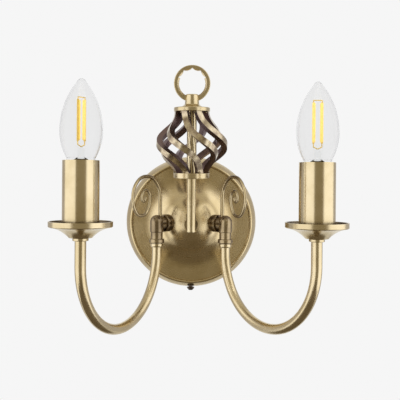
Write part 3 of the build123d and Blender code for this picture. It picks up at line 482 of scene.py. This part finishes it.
def mast_point(angle, radius, height):
    """A point near the mast: degrees right of front, distance from its axis, height along it."""
    turn = math.radians(angle)
    flat = Vector((radius * math.sin(turn), -radius * math.cos(turn), height))
    return MAST_FOOT + Matrix.Rotation(MAST_LEAN, 3, "X") @ flat


def add_bead(mesh, centre, seed):
    """A small uneven drop of braze."""
    made = bmesh.ops.create_icosphere(mesh, subdivisions=3, radius=BEAD_RADIUS)["verts"]
    for vert in made:
        lump = noise.noise(vert.co / BEAD_RADIUS + Vector((seed, 0, 0)))
        vert.co = vert.co * (1 + BEAD_LUMP * lump)
        vert.co.z *= BEAD_FLATTENING
        vert.co += centre


def make_beads():
    """Drops of braze where the cage's bars meet the two discs."""
    mesh = bmesh.new()
    for number in range(BAR_COUNT):
        head = BAR_PHASE + number * 360.0 / BAR_COUNT
        foot = head + BAR_TWIST
        above = mast_point(head + HEAD_TURN, HEAD_RING, CAP_UNDERSIDE - HEAD_DROP)
        below = mast_point(foot + FOOT_TURN, FOOT_RING, BASE_TOP + FOOT_RISE)
        add_bead(mesh, above, HEAD_SEED * number)
        add_bead(mesh, below, FOOT_SEED * number)
    beads = link_piece("cage_braze_beads", mesh, "dark_brass")
    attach(beads, "fitting")


make_beads()


# ------------------------------------------------------------------ filament coats
def add_coat(mesh, across, along, low, high):
    """A sphere drawn out between two heights into an upright rod with rounded ends."""
    columns, rows = COAT_SEGMENTS
    made = bmesh.ops.create_uvsphere(mesh, u_segments=columns, v_segments=rows, radius=COAT_RADIUS)
    rise = (high - low) / 2 - COAT_RADIUS
    for vert in made["verts"]:
        vert.co.z += math.copysign(rise, vert.co.z) if abs(vert.co.z) > MIDDLE_RING else 0.0
        vert.co += Vector((across, along, (low + high) / 2))


def make_coats(side):
    """The silicone and phosphor coat round each filament strip, with rounded ends."""
    strips = frame["nodes"][f"{side}_bulb_filament"]
    corners = [vert.co.copy() for vert in strips.data.vertices]
    low = min(corner.z for corner in corners) + COAT_FOOT
    high = max(corner.z for corner in corners) - COAT_HEAD
    middle = sum((corner for corner in corners), Vector()) / len(corners)
    left = min(corner.x for corner in corners) + COAT_INSET
    right = max(corner.x for corner in corners) - COAT_INSET
    mesh = bmesh.new()
    for across in (left, right):
        add_coat(mesh, across, middle.y, low, high)
    coats = link_piece(f"{side}_filament_coats", mesh, "phosphor")
    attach(coats, f"{side}_bulb")


for side in ("left", "right"):
    make_coats(side)


# ------------------------------------------------------------------ background
def soft_band(middle):
    """Sines of the elevations between which the edge of a wall fades."""
    return [math.sin(math.radians(middle + step)) for step in (-ELEVATION_SOFTNESS, ELEVATION_SOFTNESS)]


def wall_share(g, flat, height, wall):
    """How far a direction lies inside one of the soft-edged walls behind the fitting."""
    azimuth, half, soft, low, high, _ = wall
    middle = (math.sin(math.radians(azimuth)), -math.cos(math.radians(azimuth)), 0.0)
    across = g.vector("DOT_PRODUCT", flat, middle)
    edges = [math.cos(math.radians(half + step)) for step in (soft, -soft)]
    rise = g.spread(height, *soft_band(low))
    fall = g.spread(height, *soft_band(high), 1.0, 0.0)
    return g.math("MULTIPLY", g.spread(across, *edges), g.math("MULTIPLY", rise, fall))


def room_colour(g, height):
    """The dim warm room, by elevation alone."""
    ramp = g.add("ShaderNodeValToRGB", {"Fac": g.math("ADD", g.math("MULTIPLY", height, 0.5), 0.5)})
    elements = ramp.color_ramp.elements
    while len(elements) > 1:
        elements.remove(elements[0])
    for number, (sine, colour) in enumerate(ROOM):
        position = (sine + 1) / 2
        element = elements[0] if number == 0 else elements.new(position)
        element.position = position
        element.color = opaque(colour)
    return ramp.outputs[0]


def build_world():
    """The camera and glass see a pale background. Metal sees it only behind the fitting."""
    world = bpy.data.worlds.new("studio")
    bpy.context.scene.world = world
    world.use_nodes = True
    g = Graph(world.node_tree)
    direction = g.add("ShaderNodeTexCoord").outputs["Generated"]
    height = g.split(direction)[2]
    flat = g.vector("NORMALIZE", g.vector("MULTIPLY", direction, (1, 1, 0)))
    room = room_colour(g, height)
    for wall in (BACK_WALL, BACKDROP):
        room = g.blend(wall_share(g, flat, height, wall), room, opaque(wall[-1]))
    path = g.add("ShaderNodeLightPath").outputs
    shown = g.math("MAXIMUM", path["Is Camera Ray"], path["Is Transmission Ray"])
    backdrop = g.math("MULTIPLY", path["Is Glossy Ray"], wall_share(g, flat, height, BACKDROP))
    shown = g.math("MAXIMUM", shown, backdrop)
    seen = g.blend(shown, room, opaque(PALE))
    background = g.add("ShaderNodeBackground", {"Color": seen, "Strength": 1.0})
    g.add("ShaderNodeOutputWorld", {"Surface": background.outputs[0]})


# ------------------------------------------------------------------ floor, card, boxes, lamp
def add_disc(name, corners, radius, place):
    bpy.ops.mesh.primitive_circle_add(
        vertices=corners, radius=radius, fill_type="TRIFAN", location=place
    )
    disc = bpy.context.object
    disc.name = name
    return disc


def build_floor():
    """A pale floor far below the fitting, fading into the background."""
    floor = add_disc("floor", 96, FLOOR_RADIUS, (0, 0, FLOOR_HEIGHT))
    material, g = new_material("floor_pale")
    where = g.object_point()
    fade = g.spread(g.vector("LENGTH", where), FLOOR_FADE * FLOOR_RADIUS, FLOOR_RADIUS)
    speckle = g.spread(g.noise(where, FLOOR_SPECKLE), 0.3, 0.7, *FLOOR_TONE)
    tone = g.add("ShaderNodeCombineColor", {0: speckle, 1: speckle, 2: speckle}).outputs[0]
    matte = g.add("ShaderNodeBsdfDiffuse", {"Color": tone})
    plain = g.add("ShaderNodeEmission", {"Color": opaque(PALE)})
    path = g.add("ShaderNodeLightPath").outputs
    shown = g.math("MAXIMUM", path["Is Camera Ray"], path["Is Glossy Ray"])
    shown = g.math("MAXIMUM", shown, path["Is Transmission Ray"])
    lift = g.math("MULTIPLY", shown, FLOOR_LIFT)
    lit = g.add("ShaderNodeMixShader", {0: lift, 1: matte.outputs[0], 2: plain.outputs[0]})
    clear = g.add("ShaderNodeBsdfTransparent")
    mixed = g.add("ShaderNodeMixShader", {0: fade, 1: lit.outputs[0], 2: clear.outputs[0]})
    finish_material(g, mixed)
    floor.data.materials.append(material)


def build_card():
    """A dark card that only polished metal sees, as a photographer would lay it."""
    card = add_disc("dark_card", 64, CARD_RADIUS, CARD_PLACE)
    material, g = new_material("card_brown")
    weave = g.spread(g.noise(g.object_point(), CARD_WEAVE), 0.3, 0.7)
    tone = g.blend(weave, opaque(CARD_DARK), opaque(CARD_LIGHT))
    finish_material(g, g.add("ShaderNodeBsdfDiffuse", {"Color": tone}))
    card.data.materials.append(material)
    card.visible_camera = False
    card.visible_diffuse = False
    card.visible_transmission = False
    card.visible_shadow = False


def edge_fade(g, place):
    """1 inside a soft box and 0 at its two edges, along one direction."""
    rise = g.spread(place, 0.0, BOX_EDGE)
    fall = g.spread(place, 1 - BOX_EDGE, 1.0, 1.0, 0.0)
    return g.math("MULTIPLY", rise, fall)


def build_box(name, inner, outer, low, high, radiance):
    """A tall soft box that polished metal sees and that lights the fitting, fading at its edges."""
    corners = [(*inner, low), (*outer, low), (*outer, high), (*inner, high)]
    data = bpy.data.meshes.new(name)
    data.from_pydata(corners, [], [(0, 1, 2, 3)])
    for loop, place in zip(data.uv_layers.new(name="across").data, ((0, 0), (1, 0), (1, 1), (0, 1))):
        loop.uv = place
    material, g = new_material(name)
    across = g.split(g.add("ShaderNodeTexCoord").outputs["UV"])
    share = g.math("MULTIPLY", edge_fade(g, across[0]), edge_fade(g, across[1]))
    light = g.add("ShaderNodeEmission", {"Color": opaque(BOX_COLOUR), "Strength": radiance})
    clear = g.add("ShaderNodeBsdfTransparent")
    faded = g.add("ShaderNodeMixShader", {0: share, 1: clear.outputs[0], 2: light.outputs[0]})
    finish_material(g, faded)
    data.materials.append(material)
    box = link_object(name, data)
    box.visible_camera = False
    box.visible_transmission = False
    box.visible_shadow = False


def build_lamp():
    """One broad soft lamp overhead, which polished metal doesn't see."""
    lamp = bpy.data.lights.new("overhead", "AREA")
    lamp.shape = "RECTANGLE"
    lamp.size, lamp.size_y = LAMP_SIZE
    lamp.energy = LAMP_POWER
    holder = link_object("overhead", lamp)
    holder.location = LAMP_PLACE
    aim = Vector(LAMP_TARGET) - holder.location
    holder.rotation_euler = aim.to_track_quat("-Z", "Y").to_euler()
    holder.visible_glossy = False


def build_camera():
    camera = bpy.data.cameras.new("photo_camera")
    camera.sensor_fit = "HORIZONTAL"
    camera.sensor_width = SENSOR
    camera.lens = FOCAL_PIXELS / PHOTO_PIXELS * SENSOR
    camera.clip_start = CAMERA_CLIP
    camera.shift_x, camera.shift_y = FRAME_SHIFT
    holder = link_object("photo_camera", camera)
    holder.location = (0, -CAMERA_DISTANCE, CAMERA_HEIGHT)
    holder.rotation_euler = (math.radians(90), math.radians(-CAMERA_ROLL), 0)
    bpy.context.scene.camera = holder


build_world()
build_floor()
build_card()
build_box("left_box", *LEFT_BOX)
build_box("right_box", *RIGHT_BOX)
build_lamp()
build_camera()
bpy.context.scene.view_settings.view_transform = "Standard"
